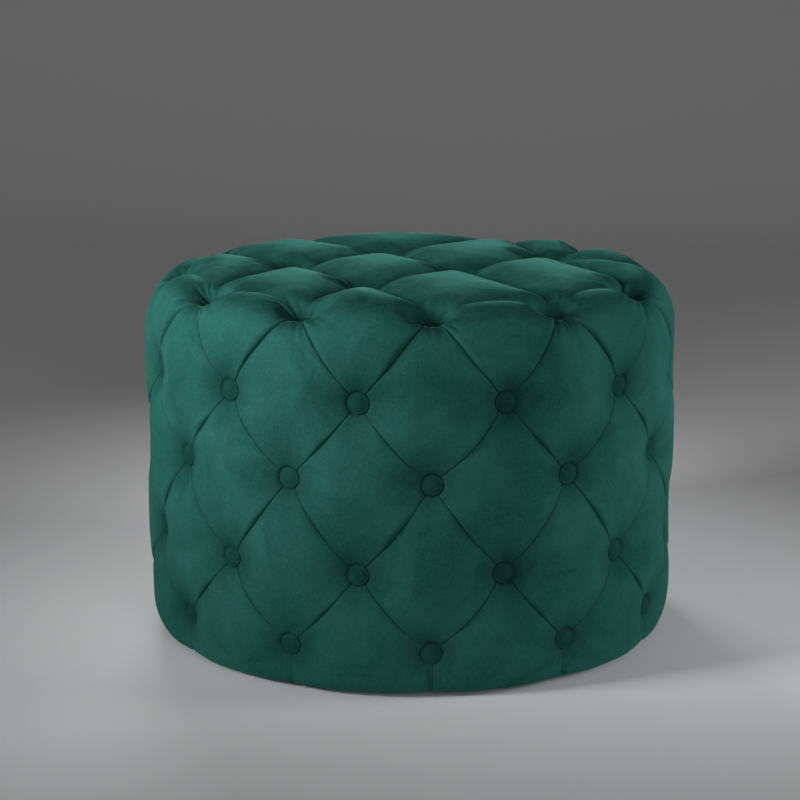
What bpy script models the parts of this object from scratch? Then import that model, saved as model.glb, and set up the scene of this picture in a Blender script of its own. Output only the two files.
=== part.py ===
"""Round deep-buttoned drum stool: a plywood drum, foam, a tufted velvet cover and its tied buttons.

Metres, +Z up. The origin is on the floor under the centre of the drum, and -Y is the front.
Angles run from the front (-Y) towards +X.
"""

import math

import bmesh
import bpy
from mathutils import Matrix, Vector

# Driving dimensions: buttoning pattern
COLUMNS = 12                                  # buttons in each row round the side
FRONT_ANGLE = math.radians(4.5)               # first button of an even row, right of the front
ROW_HEIGHTS = (0.045, 0.121, 0.210, 0.287)    # side rows above the floor, lowest first
RIM_INSET = 0.029                             # rim ring of buttons, inside the side tufts
RIM_DROP = 0.010                              # rim ring, below the tufts of the top
TOP_FIRST_X = -0.045                          # front button of the grid of buttons on the top
TOP_FIRST_Y = -0.112
TOP_STEP_LENGTH = 0.132                       # one step along the grid, to the back and right
TOP_STEP_ANGLE = math.radians(46)             # that step from straight back, towards the right
TOP_CROSS_LENGTH = 0.138                      # one step across it, to the back and left
TOP_CROSS_ANGLE = math.radians(-34)
TOP_GRID = ((0, 0), (1, 0), (2, 0), (0, 1), (1, 1))    # steps along and across to each button
GRID_CREASES = ((0, 1), (1, 2), (0, 3), (3, 4), (1, 4))    # buttons of the grid that a crease joins
RIM_CREASES = ((0, 11), (0, 0), (1, 1), (2, 2), (2, 3), (2, 4), (2, 5), (4, 5), (4, 7), (3, 8), (3, 10))
OPEN_GAPS = (11, 2, 3, 4)                     # rim gaps where a side cushion runs on to the grid

# Driving dimensions: drum
WALL_RADIUS = 0.243                           # outside of the wooden drum
WALL_THICKNESS = 0.012
BASE_THICKNESS = 0.018
TOP_BOARD_THICKNESS = 0.015
TOP_ROW_DROP = 0.025                          # top side row, below the upper face of the top board

# Driving dimensions: upholstery
SIDE_FOAM_THICKNESS = 0.0144
TOP_FOAM_THICKNESS = 0.0394
EDGE_ROUND = 0.042                            # rounding of the foam at the top edge
EDGE_BOW = 0.010                              # bulge of the edge between top row and rim ring
COVER_BED = 0.004                             # cover and wadding under a tuft
SIDE_CROWN = 0.0125                           # height of a side cushion over its tufts
RIM_CROWN = 0.038
TOP_CROWN = 0.031
HEM_CROWN = 0.006
HEM_THICKNESS = 0.002
HEM_WIDTH = 0.034                             # fabric turned under the base board
DUST_COVER_THICKNESS = 0.001
CREASE_SHARE = 0.70                           # crease height at mid length, share of the crown
PILLOW_POWER = 0.62                           # below 1 gives full, round cushions
RIM_CREASE_BOW = 0.024                        # creases from rim button to rim button bend inwards
TOP_CREASE_SHARE = 0.62                       # the same share on the top
TOP_CREASE_REACH = 0.030                      # a top cushion is full this far from its creases
TOP_PIT_REACH = 0.050                         # and this far from its buttons
TOP_PIT_POWER = 0.55                          # below 1 gives pits with round edges
TOP_FLAT_RADIUS = 0.170                       # inside this the tuft floor of the top is level
TOP_CORE_RADIUS = 0.010                       # the flat middle of the top
PIT_CLEARANCE = 0.003                         # round a top button
PIT_FLARE = 0.020                             # widening of its pit

# Driving dimensions: buttons, ties and fixings
BUTTON_RADIUS = 0.011
BUTTON_HEIGHT = 0.010
BUTTON_RIM = 0.0052                           # height of the widest part over the tuft
BUTTON_SHOULDER_RADIUS = 0.0079               # where the flat of the dome turns down
BUTTON_SHOULDER_HEIGHT = 0.0084
TOP_BUTTON_LIFT = 0.006                       # top buttons ride up on the folds round them
TWINE_RADIUS = 0.00125
TIE_RADIUS = 0.002                            # cord that ties a row inside the drum
TIE_DROP = 0.004                              # from the wood to the middle of that cord
RIM_TIE_INSET = 0.025                         # the rim ring's cord, inside the drum wall
WASHER_RADIUS = 0.012
WASHER_THICKNESS = 0.002
GLIDE_COUNT = 6
GLIDE_RADIUS = 0.011
GLIDE_INSET = 0.007                           # from the turned hem to a glide
GLIDE_HEIGHT = 0.005
GLIDE_FOOT_RADIUS = 0.00825                   # the flat that stands on the floor
GLIDE_FOOT_CHAMFER = 0.0017
NAIL_RADIUS = 0.0014
NAIL_LENGTH = 0.014
SCREW_COUNT = 6
SCREW_RADIUS = 0.002
SCREW_LENGTH = 0.045
SCREW_HEAD_RADIUS = 0.004
SCREW_HEAD_HEIGHT = 0.003

GAP = 0.0003                                  # clearance between touching pieces
TWINE_CLEARANCE = 0.0006
FIXING_CLEARANCE = 0.0004
CUT_MARGIN = 0.004                            # a cutter runs this far past what it cuts

# Faces of the turned pieces
HALF_STEPS = 2                                # grid steps in half a column and in a row
TOP_RINGS = 3                                 # rings of faces from the rim to the level top
CORE_RINGS = 6                                # and from there to the middle
PIT_SIDES = 12
RING_POINTS = 2 * COLUMNS * HALF_STEPS
BUTTON_SIDES = 8
SCREW_SIDES = 6
GLIDE_SIDES = 12

# Worked out from the values above
HALF_COLUMN = math.pi / COLUMNS
DUST_BOTTOM = GLIDE_HEIGHT + GAP
BASE_BOTTOM = DUST_BOTTOM + DUST_COVER_THICKNESS + GAP
BASE_TOP = BASE_BOTTOM + BASE_THICKNESS
HEM_BOTTOM = BASE_BOTTOM - GAP - HEM_THICKNESS
HEM_INNER = WALL_RADIUS + COVER_BED - HEM_WIDTH
GLIDE_CIRCLE = HEM_INNER - GLIDE_INSET - GLIDE_RADIUS
TOP_BOARD_LEVEL = ROW_HEIGHTS[-1] + TOP_ROW_DROP
TOP_BOARD_BOTTOM = TOP_BOARD_LEVEL - TOP_BOARD_THICKNESS
WALL_BOTTOM = BASE_TOP + GAP
WALL_TOP = TOP_BOARD_BOTTOM - GAP
WALL_INNER = WALL_RADIUS - WALL_THICKNESS
COVER_INNER = WALL_RADIUS + SIDE_FOAM_THICKNESS + 2 * GAP
COVER_CEILING = TOP_BOARD_LEVEL + TOP_FOAM_THICKNESS + 2 * GAP
TUFT_RADIUS = COVER_INNER + COVER_BED
TOP_TUFT_HEIGHT = COVER_CEILING + COVER_BED
RIM_RING_RADIUS = TUFT_RADIUS - RIM_INSET
RIM_RING_HEIGHT = TOP_TUFT_HEIGHT - RIM_DROP
TOP_TIE_HEIGHT = TOP_BOARD_BOTTOM - TIE_DROP
RIM_TIE_RADIUS = WALL_INNER - RIM_TIE_INSET
RIM_BUTTON_LEAN = math.atan2(RIM_RING_RADIUS - RIM_TIE_RADIUS, RIM_RING_HEIGHT - TOP_TIE_HEIGHT)
SIDE_ROWS = len(ROW_HEIGHTS)
RIM_STATION = SIDE_ROWS + 1
FLAT_STATION = SIDE_ROWS + 2
CENTRE_STATION = SIDE_ROWS + 3
SEAM_STATION = SIDE_ROWS + 0.5                # the top cover starts between row and rim
TWINE_HOLE = TWINE_RADIUS + TWINE_CLEARANCE

parts = None
cutters = None


def reset_scene():
    """Empty the scene and make one collection for the stool and one for its cutters."""
    global parts, cutters
    for old in list(bpy.data.objects):
        bpy.data.objects.remove(old, do_unlink=True)
    parts = bpy.data.collections.new("drum_stool")
    cutters = bpy.data.collections.new("drum_stool_cutters")
    bpy.context.scene.collection.children.link(parts)
    bpy.context.scene.collection.children.link(cutters)


def material(name, colour, roughness, metallic=0.0):
    """A Principled BSDF material."""
    made = bpy.data.materials.new(name)
    made.use_nodes = True
    shader = made.node_tree.nodes["Principled BSDF"]
    shader.inputs["Base Color"].default_value = (*colour, 1.0)
    shader.inputs["Roughness"].default_value = roughness
    shader.inputs["Metallic"].default_value = metallic
    return made


def polar(angle, radius, height):
    """The point at an angle from the front, a radius and a height."""
    return Vector((radius * math.sin(angle), -radius * math.cos(angle), height))


def column_angle(half_columns):
    """The angle of a place counted in half columns from the first even-row button."""
    return FRONT_ANGLE + half_columns * HALF_COLUMN


def add_part(name, mesh_data, finish):
    """A bmesh as a named part of the stool with its material."""
    bmesh.ops.recalc_face_normals(mesh_data, faces=mesh_data.faces)
    mesh = bpy.data.meshes.new(name)
    mesh_data.to_mesh(mesh)
    mesh_data.free()
    mesh.materials.append(finish)
    mesh.shade_smooth()
    mesh.set_sharp_from_angle(angle=math.radians(40))
    made = bpy.data.objects.new(name, mesh)
    parts.objects.link(made)
    return made


def add_cutter(name, mesh_data):
    """A bmesh as a hidden cutter."""
    bmesh.ops.recalc_face_normals(mesh_data, faces=mesh_data.faces)
    mesh = bpy.data.meshes.new(name)
    mesh_data.to_mesh(mesh)
    mesh_data.free()
    made = bpy.data.objects.new(name, mesh)
    made.hide_render = True
    made.display_type = "WIRE"
    cutters.objects.link(made)
    return made


def combine(piece, other, operation):
    """A Boolean of a piece with a cutter, kept as a modifier."""
    step = piece.modifiers.new(other.name, "BOOLEAN")
    step.operation = operation
    step.object = other
    step.solver = "EXACT"


def turned(profile, segments):
    """A bmesh turned about Z from (radius, height) points; the profile is closed or ends on the axis."""
    turned_mesh = bmesh.new()
    points = [turned_mesh.verts.new((radius, 0.0, height)) for radius, height in profile]
    pairs = list(zip(points, points[1:]))
    if profile[0][0] > 0.0:
        pairs.append((points[-1], points[0]))
    edges = [turned_mesh.edges.new(pair) for pair in pairs]
    bmesh.ops.spin(turned_mesh, geom=points + edges, cent=(0, 0, 0), axis=(0, 0, 1),
                   angle=2 * math.pi, steps=segments, use_merge=True)
    bmesh.ops.remove_doubles(turned_mesh, verts=turned_mesh.verts, dist=1e-6)
    return turned_mesh


def place(mesh_data, matrix):
    """Moves a whole bmesh."""
    bmesh.ops.transform(mesh_data, matrix=matrix, verts=mesh_data.verts)
    return mesh_data


def joined(pieces):
    """Several bmeshes in one, their bodies still apart."""
    whole = bmesh.new()
    for piece in pieces:
        holder = bpy.data.meshes.new("joining")
        piece.to_mesh(holder)
        piece.free()
        whole.from_mesh(holder)
        bpy.data.meshes.remove(holder)
    return whole


def facing(point, direction):
    """The matrix that sets +Z along a direction, at a point."""
    turn = Vector((0, 0, 1)).rotation_difference(direction.normalized())
    return Matrix.Translation(point) @ turn.to_matrix().to_4x4()


def is_tuft_row_even(station):
    """Rows whose buttons stand at even half columns: the lowest, every second one and the rim."""
    return station % 2 == 1


def tuft_columns(station):
    """The half-column places of the buttons of a row."""
    first = 0 if is_tuft_row_even(station) else 1
    return [first + 2 * step for step in range(COLUMNS)]


def top_tufts():
    """The buttons of the top, on their grid."""
    tufts = []
    for along, across in TOP_GRID:
        x = along * TOP_STEP_LENGTH * math.sin(TOP_STEP_ANGLE)
        x += across * TOP_CROSS_LENGTH * math.sin(TOP_CROSS_ANGLE)
        y = along * TOP_STEP_LENGTH * math.cos(TOP_STEP_ANGLE)
        y += across * TOP_CROSS_LENGTH * math.cos(TOP_CROSS_ANGLE)
        tufts.append(Vector((TOP_FIRST_X + x, TOP_FIRST_Y + y)))
    return tufts


def rim_tuft(column):
    """A rim button seen from above; columns count from the front."""
    place_at = polar(column_angle(2 * column), RIM_RING_RADIUS, 0.0)
    return place_at.to_2d()


def top_creases():
    """The creases of the top seen from above, each a list of points.

    The grid's own creases come first, then those that run out to the rim. Gaps of the rim that
    no cushion of the side runs through have a crease that bends inwards.
    """
    tufts = top_tufts()
    creases = [[tufts[first], tufts[last]] for first, last in GRID_CREASES]
    creases += [[tufts[first], rim_tuft(column)] for first, column in RIM_CREASES]
    for column in range(COLUMNS):
        if column in OPEN_GAPS:
            continue
        ends = [rim_tuft(column), rim_tuft(column + 1)]
        middle = (ends[0] + ends[1]) / 2
        creases.append([ends[0], middle - middle.normalized() * RIM_CREASE_BOW, ends[1]])
    return creases


def distance_to_crease(point, crease):
    """Distance from a point to a crease, both seen from above."""
    best = math.inf
    for start, end in zip(crease, crease[1:]):
        way = end - start
        share = min(max((point - start).dot(way) / way.length_squared, 0), 1)
        best = min(best, (point - start - share * way).length)
    return best


def top_pillow(point):
    """Cushion shape of the top seen from above, from 0 at a button to 1 on a full cushion."""
    to_crease = min(distance_to_crease(point, crease) for crease in top_creases())
    buttons = top_tufts() + [rim_tuft(column) for column in range(COLUMNS)]
    to_button = min((point - button).length for button in buttons)
    crease_rise = min(to_crease / TOP_CREASE_REACH, 1) ** PILLOW_POWER
    button_rise = min(to_button / TOP_PIT_REACH, 1) ** TOP_PIT_POWER
    return (TOP_CREASE_SHARE + (1 - TOP_CREASE_SHARE) * crease_rise) * button_rise


def floor_profile(station):
    """The tuft floor at a station: the point (radius, height) and the outward normal in that plane.

    Station 0 is the hem, 1 to 4 the side rows, 5 the rim ring, 6 the level top and 7 its middle.
    """
    knots = [(TUFT_RADIUS, HEM_BOTTOM)]
    knots += [(TUFT_RADIUS, height) for height in ROW_HEIGHTS]
    knots += [(RIM_RING_RADIUS, RIM_RING_HEIGHT)]
    knots += [(TOP_FLAT_RADIUS, TOP_TUFT_HEIGHT), (TOP_CORE_RADIUS, TOP_TUFT_HEIGHT)]
    side = Vector((1, 0))
    lean = Vector((math.sin(RIM_BUTTON_LEAN), math.cos(RIM_BUTTON_LEAN)))
    top = Vector((0, 1))
    normals = [side] * (SIDE_ROWS + 1) + [lean, top, top]
    low = min(int(station), CENTRE_STATION - 1)
    share = station - low
    point = Vector(knots[low]).lerp(Vector(knots[low + 1]), share)
    normal = normals[low].lerp(normals[low + 1], share).normalized()
    if SIDE_ROWS < station < RIM_STATION:
        bow = math.sin(math.pi * share) * EDGE_BOW
        point = point + normal * bow
    return point, normal


def crown(station):
    """How far a cushion stands over the tuft floor at a station."""
    heights = [HEM_CROWN] + [SIDE_CROWN] * SIDE_ROWS + [RIM_CROWN, TOP_CROWN, TOP_CROWN]
    low = min(int(station), CENTRE_STATION - 1)
    share = station - low
    return heights[low] * (1 - share) + heights[low + 1] * share


def pillow(half_columns, station):
    """Cushion shape from 0 at a button to 1 at the middle of a diamond.

    On the side each cushion is the product of two waves that vanish on its creases, with straight
    pleats under the lowest row.
    """
    if station >= RIM_STATION:
        point, _ = floor_profile(station)
        return top_pillow(polar(column_angle(half_columns), point.x, 0.0).to_2d())
    across = abs(math.cos(math.pi * (half_columns + station) / 2))
    along = abs(math.cos(math.pi * (half_columns - station) / 2))
    if station < 1:
        across = along = abs(math.sin(math.pi * half_columns / 2))
    return CREASE_SHARE * max(across, along) + (1 - CREASE_SHARE) * (across * along) ** PILLOW_POWER


def cover_point(ring_step, station):
    """A point on the outside of the cover."""
    half_columns = ring_step / HALF_STEPS
    point, normal = floor_profile(station)
    lift = point + normal * crown(station) * pillow(half_columns, station)
    return polar(column_angle(half_columns), lift.x, lift.y)


def plain_ring(radius, height):
    """A plain ring of points that lines up with the cover's rings."""
    return [polar(column_angle(step / HALF_STEPS), radius, height) for step in range(RING_POINTS)]


def loft(rings, first_diagonal_row, first_step=0, capped=False):
    """A closed band of rings: each ring joins the next, and the last joins the first or both are capped.

    Rings that go part of the way round get flat ends. Diagonals follow the creases, which run
    corner to corner through the grid.
    """
    lofted = bmesh.new()
    made = [[lofted.verts.new(point) for point in ring] for ring in rings]
    points = len(rings[0])
    whole_turn = points == RING_POINTS
    if capped:
        lofted.faces.new(made[0])
        lofted.faces.new(made[-1])
    for row, ring in enumerate(made[:-1] if capped else made):
        following = made[(row + 1) % len(made)]
        for step in range(points if whole_turn else points - 1):
            ahead = (step + 1) % points
            corners = [ring[step], ring[ahead], following[ahead], following[step]]
            if (step + first_step - row - first_diagonal_row) % 2:
                corners = corners[1:] + corners[:1]
            lofted.faces.new((corners[0], corners[1], corners[2]))
            lofted.faces.new((corners[0], corners[2], corners[3]))
    if not whole_turn:
        lofted.faces.new([ring[0] for ring in made])
        lofted.faces.new([ring[-1] for ring in made])
    return lofted


def stations(first, last):
    """Half-row stations from first to last."""
    count = round((last - first) * HALF_STEPS)
    return [first + step / HALF_STEPS for step in range(count + 1)]


def seam_ring(shift):
    """The inner edge of the cover seam, moved along the profile by shift."""
    point, normal = floor_profile(SEAM_STATION)
    tangent = Vector((-normal.y, normal.x))
    inside = point - normal * COVER_BED + tangent * shift
    return plain_ring(inside.x, inside.y)


def drawn_aside(ring):
    """Part of a ring with its two ends drawn in along the ring, to leave the seam gap."""
    ends = []
    for end, inward in ((ring[0], ring[1]), (ring[-1], ring[-2])):
        turn = GAP / 2 / math.hypot(end.x, end.y)
        sign = 1 if end.cross(inward).z > 0 else -1
        ends.append(Matrix.Rotation(sign * turn, 3, "Z") @ end)
    return [ends[0]] + ring[1:-1] + [ends[1]]


def make_side_cover(name, first_step, finish):
    """One half of the tufted side cover with its hem turned under the base board."""
    rings = [[cover_point(step, station) for step in range(RING_POINTS)]
             for station in stations(0, SEAM_STATION)]
    rings.append(seam_ring(0.0))
    rings.append(plain_ring(COVER_INNER, ROW_HEIGHTS[-1]))
    rings.append(plain_ring(COVER_INNER, BASE_BOTTOM - GAP))
    rings.append(plain_ring(HEM_INNER, BASE_BOTTOM - GAP))
    rings.append(plain_ring(HEM_INNER, HEM_BOTTOM))
    steps = [(first_step + step) % RING_POINTS for step in range(RING_POINTS // 2 + 1)]
    half = [drawn_aside([ring[step] for step in steps]) for ring in rings]
    return add_part(name, loft(half, 0, first_step), finish)


def top_stations():
    """The stations of the top cover's rings, from the rim to the middle."""
    to_flat = [RIM_STATION + step / TOP_RINGS for step in range(TOP_RINGS)]
    to_middle = [FLAT_STATION + step / CORE_RINGS for step in range(CORE_RINGS + 1)]
    return to_flat + to_middle


def make_top_cover(finish):
    """Tufted top of the cover, from the seam over the rounded edge to the middle."""
    point, normal = floor_profile(SEAM_STATION)
    tangent = Vector((-normal.y, normal.x)) * GAP
    edge = []
    for step in range(RING_POINTS):
        lift = crown(SEAM_STATION) * pillow(step / HALF_STEPS, SEAM_STATION)
        moved = point + normal * lift + tangent
        edge.append(polar(column_angle(step / HALF_STEPS), moved.x, moved.y))
    rings = [
        plain_ring(TOP_CORE_RADIUS, COVER_CEILING),
        plain_ring(TOP_FLAT_RADIUS, COVER_CEILING),
        plain_ring(COVER_INNER - EDGE_ROUND, COVER_CEILING),
        seam_ring(GAP),
        edge,
    ]
    rings += [[cover_point(step, station) for step in range(RING_POINTS)] for station in top_stations()]
    return add_part("top_cover", loft(rings, 0, capped=True), finish)


def cover_inside_radius(height):
    """Inside radius of the side cover at a height between the top row and the seam."""
    point, normal = floor_profile(SEAM_STATION)
    seam = point - normal * COVER_BED
    share = (height - ROW_HEIGHTS[-1]) / (seam.y - ROW_HEIGHTS[-1])
    return COVER_INNER + (seam.x - COVER_INNER) * share


def foam_shoulder():
    """Outline of the top foam over the rounded edge, GAP inside the cover: (radius, height) points."""
    point, normal = floor_profile(SEAM_STATION)
    seam = point - normal * (COVER_BED + GAP)
    low = TOP_BOARD_LEVEL + GAP
    return [
        (COVER_INNER - EDGE_ROUND, COVER_CEILING - GAP),
        (seam.x, seam.y),
        (cover_inside_radius(low) - GAP, low),
    ]


def drum_piece(profile):
    """A turned piece whose flats line up with the cover's rings."""
    return place(turned(profile, RING_POINTS), Matrix.Rotation(FRONT_ANGLE, 4, "Z"))


def disc_profile(radius, bottom, top, bore=0.0):
    """Outline of a disc, with a bore or down to the axis."""
    return [(bore, top), (radius, top), (radius, bottom), (bore, bottom)]


def make_drum(wood, foam):
    """Base board, wall and top board of the drum, and the foam on them."""
    base = add_part("base_board", drum_piece(disc_profile(WALL_RADIUS, BASE_BOTTOM, BASE_TOP)), wood)
    wall_outline = disc_profile(WALL_RADIUS, WALL_BOTTOM, WALL_TOP, WALL_INNER)
    wall = add_part("drum_wall", drum_piece(wall_outline), wood)
    board_outline = disc_profile(WALL_RADIUS, TOP_BOARD_BOTTOM, TOP_BOARD_LEVEL)
    board = add_part("top_board", drum_piece(board_outline), wood)
    foam_top = TOP_BOARD_LEVEL - GAP
    side_outline = [
        (WALL_RADIUS + GAP, foam_top),
        (cover_inside_radius(foam_top) - GAP, foam_top),
        (COVER_INNER - GAP, ROW_HEIGHTS[-1]),
        (COVER_INNER - GAP, BASE_BOTTOM),
        (WALL_RADIUS + GAP, BASE_BOTTOM),
    ]
    side_foam = add_part("side_foam", drum_piece(side_outline), foam)
    top_outline = [(0.0, COVER_CEILING - GAP)] + foam_shoulder() + [(0.0, TOP_BOARD_LEVEL + GAP)]
    top_foam = add_part("top_foam", drum_piece(top_outline), foam)
    return base, wall, board, side_foam, top_foam


def tuft_axes(station):
    """The floor point and outward direction of each button of a ring."""
    point, normal = floor_profile(station)
    angles = [column_angle(column) for column in tuft_columns(station)]
    return [(polar(angle, point.x, point.y), polar(angle, normal.x, normal.y)) for angle in angles]


def top_axes():
    """The floor point and direction of each button of the top."""
    return [(Vector((tuft.x, tuft.y, TOP_TUFT_HEIGHT)), Vector((0, 0, 1))) for tuft in top_tufts()]


def tie_depth(station):
    """Distance along a button's axis from the tuft floor to the cord that ties its ring."""
    if station <= SIDE_ROWS:
        return TUFT_RADIUS - WALL_INNER + TIE_DROP
    point, normal = floor_profile(station)
    return (point.y - TOP_TIE_HEIGHT) / normal.y


def twine_channels(axes, depth):
    """Three-sided channels for twines, each from over its tuft floor to past a depth."""
    length = depth + CUT_MARGIN
    channels = []
    for point, direction in axes:
        channel = bmesh.new()
        bmesh.ops.create_cone(channel, cap_ends=True, segments=3, radius1=2 * TWINE_HOLE,
                              radius2=2 * TWINE_HOLE, depth=length + CUT_MARGIN)
        middle = point + direction * (CUT_MARGIN - length) / 2
        channels.append(place(channel, facing(middle, direction)))
    return channels


def pit_cutter():
    """Flared pits that keep the cover clear of the buttons of the top."""
    height = TOP_CROWN + CUT_MARGIN
    pits = []
    for point, direction in top_axes():
        pit = bmesh.new()
        radius = BUTTON_RADIUS + PIT_CLEARANCE
        bmesh.ops.create_cone(pit, cap_ends=True, segments=PIT_SIDES, radius1=radius,
                              radius2=radius + PIT_FLARE, depth=height)
        pits.append(place(pit, facing(point + direction * height / 2, direction)))
    return add_cutter("top_pits", joined(pits))


def button_outline(lift, depth):
    """Domed button standing at lift over the tuft floor, with its twine down to depth."""
    return [
        (0.0, lift + BUTTON_HEIGHT),
        (BUTTON_SHOULDER_RADIUS, lift + BUTTON_SHOULDER_HEIGHT),
        (BUTTON_RADIUS, lift + BUTTON_RIM),
        (TWINE_RADIUS, lift + GAP),
        (TWINE_RADIUS, -depth),
        (0.0, -depth),
    ]


def make_button_ring(name, station, lift, finish):
    """A ring of covered buttons, each on its twine, tied to one cord inside the drum."""
    depth = tie_depth(station)
    axes = tuft_axes(station)
    buttons = [place(turned(button_outline(lift, depth), BUTTON_SIDES), facing(point, direction))
               for point, direction in axes]
    first = axes[0][0] - axes[0][1] * depth
    radius = math.hypot(first.x, first.y)
    cord_section = [(radius + dx * TIE_RADIUS, first.z + dz * TIE_RADIUS)
                    for dx, dz in ((0, 1), (1, 0), (0, -1), (-1, 0))]
    turn = Matrix.Rotation(math.atan2(first.y, first.x), 4, "Z")
    cord = add_cutter(name + "_cord", place(turned(cord_section, 2 * COLUMNS), turn))
    ring = add_part(name, joined(buttons), finish)
    combine(ring, cord, "UNION")


def make_top_buttons(finish):
    """The buttons of the top, each held by a washer under the top board."""
    depth = TOP_TUFT_HEIGHT - TOP_BOARD_BOTTOM + GAP
    outline = button_outline(TOP_BUTTON_LIFT, depth)[:-1]
    outline += [
        (WASHER_RADIUS, -depth),
        (WASHER_RADIUS, -depth - WASHER_THICKNESS),
        (0.0, -depth - WASHER_THICKNESS),
    ]
    for count, (point, direction) in enumerate(top_axes()):
        button = place(turned(outline, BUTTON_SIDES), facing(point, direction))
        add_part(f"top_button_{count + 1}", button, finish)


def screw_outline(grow):
    """Countersunk screw with its head face at height 0, grown by a clearance for its hole."""
    return [
        (0.0, grow),
        (SCREW_HEAD_RADIUS + grow, grow),
        (SCREW_HEAD_RADIUS + grow, 0.0),
        (SCREW_RADIUS + grow, -SCREW_HEAD_HEIGHT),
        (SCREW_RADIUS + grow, -SCREW_LENGTH + 2 * SCREW_RADIUS - grow),
        (0.0, -SCREW_LENGTH - grow),
    ]


def make_screws(which, head_height, direction, boards, finish):
    """Screws through a board into the end of the drum wall."""
    circle = WALL_RADIUS - WALL_THICKNESS / 2
    spacing = 2 * COLUMNS / SCREW_COUNT
    holes = []
    for count in range(SCREW_COUNT):
        place_at = polar(column_angle(0.5 + spacing * count), circle, head_height)
        stand = facing(place_at, direction)
        outline = [(0.0, 0.0)] + screw_outline(0.0)[2:]
        add_part(f"{which}_screw_{count + 1}", place(turned(outline, SCREW_SIDES), stand), finish)
        holes.append(place(turned(screw_outline(FIXING_CLEARANCE), SCREW_SIDES), stand))
    cutter = add_cutter(f"{which}_screw_holes", joined(holes))
    for board in boards:
        combine(board, cutter, "DIFFERENCE")


def make_glides(boards, finish):
    """Nail-on glides that the stool stands on."""
    body = [
        (0.0, GLIDE_HEIGHT + NAIL_LENGTH),
        (NAIL_RADIUS, GLIDE_HEIGHT + NAIL_LENGTH - 2 * NAIL_RADIUS),
        (NAIL_RADIUS, GLIDE_HEIGHT),
        (GLIDE_RADIUS, GLIDE_HEIGHT),
        (GLIDE_RADIUS, GLIDE_FOOT_CHAMFER),
        (GLIDE_FOOT_RADIUS, 0.0),
        (0.0, 0.0),
    ]
    hole_radius = NAIL_RADIUS + FIXING_CLEARANCE
    hole_depth = NAIL_LENGTH + FIXING_CLEARANCE
    holes = []
    for count in range(GLIDE_COUNT):
        angle = 2 * math.pi * count / GLIDE_COUNT
        centre = Matrix.Translation(polar(angle, GLIDE_CIRCLE, 0.0))
        add_part(f"glide_{count + 1}", place(turned(body, GLIDE_SIDES), centre), finish)
        hole = bmesh.new()
        bmesh.ops.create_cone(hole, cap_ends=True, segments=SCREW_SIDES, radius1=hole_radius,
                              radius2=hole_radius, depth=2 * hole_depth)
        holes.append(place(hole, centre @ Matrix.Translation((0, 0, GLIDE_HEIGHT))))
    cutter = add_cutter("glide_nail_holes", joined(holes))
    for board in boards:
        combine(board, cutter, "DIFFERENCE")


def make_dust_cover(finish):
    """Cloth under the base board, inside the turned hem."""
    outline = disc_profile(HEM_INNER - GAP, DUST_BOTTOM, DUST_BOTTOM + DUST_COVER_THICKNESS)
    return add_part("dust_cover", drum_piece(outline), finish)


def build():
    """The whole stool."""
    reset_scene()
    velvet = material("green_velvet", (0.006, 0.105, 0.075), 0.85)
    wood = material("plywood", (0.55, 0.40, 0.25), 0.7)
    foam = material("foam", (0.80, 0.76, 0.62), 0.95)
    steel = material("zinc_steel", (0.60, 0.60, 0.58), 0.4, 1.0)
    plastic = material("black_plastic", (0.02, 0.02, 0.02), 0.5)
    cloth = material("dust_cloth", (0.03, 0.03, 0.03), 0.95)

    base, wall, board, side_foam, top_foam = make_drum(wood, foam)
    right_cover = make_side_cover("side_cover_right", 1, velvet)
    left_cover = make_side_cover("side_cover_left", 1 + RING_POINTS // 2, velvet)
    top_cover = make_top_cover(velvet)
    dust_cover = make_dust_cover(cloth)

    side_channels = []
    for station in range(1, SIDE_ROWS + 1):
        side_channels += twine_channels(tuft_axes(station), tie_depth(station))
    side_twines = add_cutter("side_twine_holes", joined(side_channels))
    for piece in (wall, side_foam, right_cover, left_cover):
        combine(piece, side_twines, "DIFFERENCE")
    rim_channels = twine_channels(tuft_axes(RIM_STATION), tie_depth(RIM_STATION))
    top_channels = twine_channels(top_axes(), TOP_TUFT_HEIGHT - TOP_BOARD_BOTTOM)
    top_twines = add_cutter("top_twine_holes", joined(rim_channels + top_channels))
    for piece in (board, top_foam, top_cover):
        combine(piece, top_twines, "DIFFERENCE")
    combine(top_cover, pit_cutter(), "DIFFERENCE")

    for station in range(1, SIDE_ROWS + 1):
        make_button_ring(f"side_buttons_row_{station}", station, 0.0, velvet)
    make_button_ring("rim_buttons", RIM_STATION, TOP_BUTTON_LIFT, velvet)
    make_top_buttons(velvet)

    make_screws("base", BASE_BOTTOM, Vector((0, 0, -1)), (base, wall), steel)
    make_screws("top", TOP_BOARD_LEVEL, Vector((0, 0, 1)), (board, wall), steel)
    make_glides((base, dust_cover), plastic)


build()
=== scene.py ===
"""Looks of a round deep-buttoned drum stool in green velvet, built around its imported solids.

Metres, +Z up, origin on the floor under the centre, -Y is the front. Angles run from the front
towards +X. The cover is one tufted skin: a smooth drum drawn in along creases and at buttons.
"""

import math

import bmesh
import bpy
import numpy as np
from mathutils import Matrix, Vector


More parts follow.
